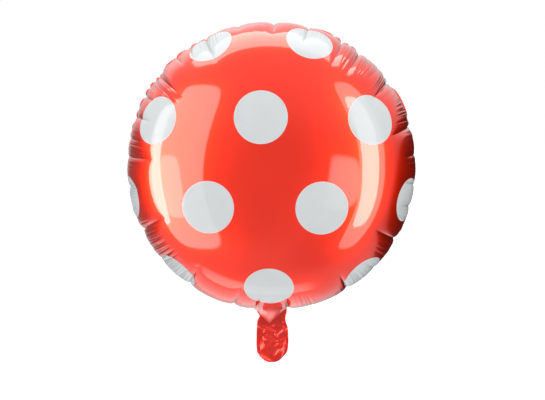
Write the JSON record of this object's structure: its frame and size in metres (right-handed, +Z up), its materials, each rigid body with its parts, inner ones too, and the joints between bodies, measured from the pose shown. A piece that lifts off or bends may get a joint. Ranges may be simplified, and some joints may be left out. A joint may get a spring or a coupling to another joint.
{
  "type": "round foil balloon",
  "caption": "Round inflated foil party balloon with printed dots, a seamed rim, a self-sealing valve sleeve and a folding filling tail.",
  "frame": {"origin": "middle of the neck's fold line, between the two films, where a ribbon is tied", "axes": "+Z up through the balloon's centre, -Y out of the front panel, +X to the right seen from the front"},
  "size_m": [0.3356, 0.2006, 0.3981],
  "materials": {
    "red_foil": "gloss",
    "white_ink": "gloss",
    "valve_film": "gloss"
  },
  "bodies": {
    "balloon": {"front_panel": "red_foil", "rear_panel": "red_foil", "front_dot_print": "white_ink", "rear_dot_print": "white_ink", "neck_front_film": "red_foil", "neck_rear_film": "red_foil", "valve_inner_front": "valve_film", "valve_inner_rear": "valve_film"},
    "tail": {"tail_front_film": "red_foil", "tail_rear_film": "red_foil", "valve_mouth_front": "valve_film", "valve_mouth_rear": "valve_film"}
  },
  "joints": [
    {"name": "tail_fold", "type": "hinge", "parent": "balloon", "child": "tail", "pos_m": [0, 0, 0], "axis": [1, 0, 0], "range_deg": [-110, 110]}
  ]
}
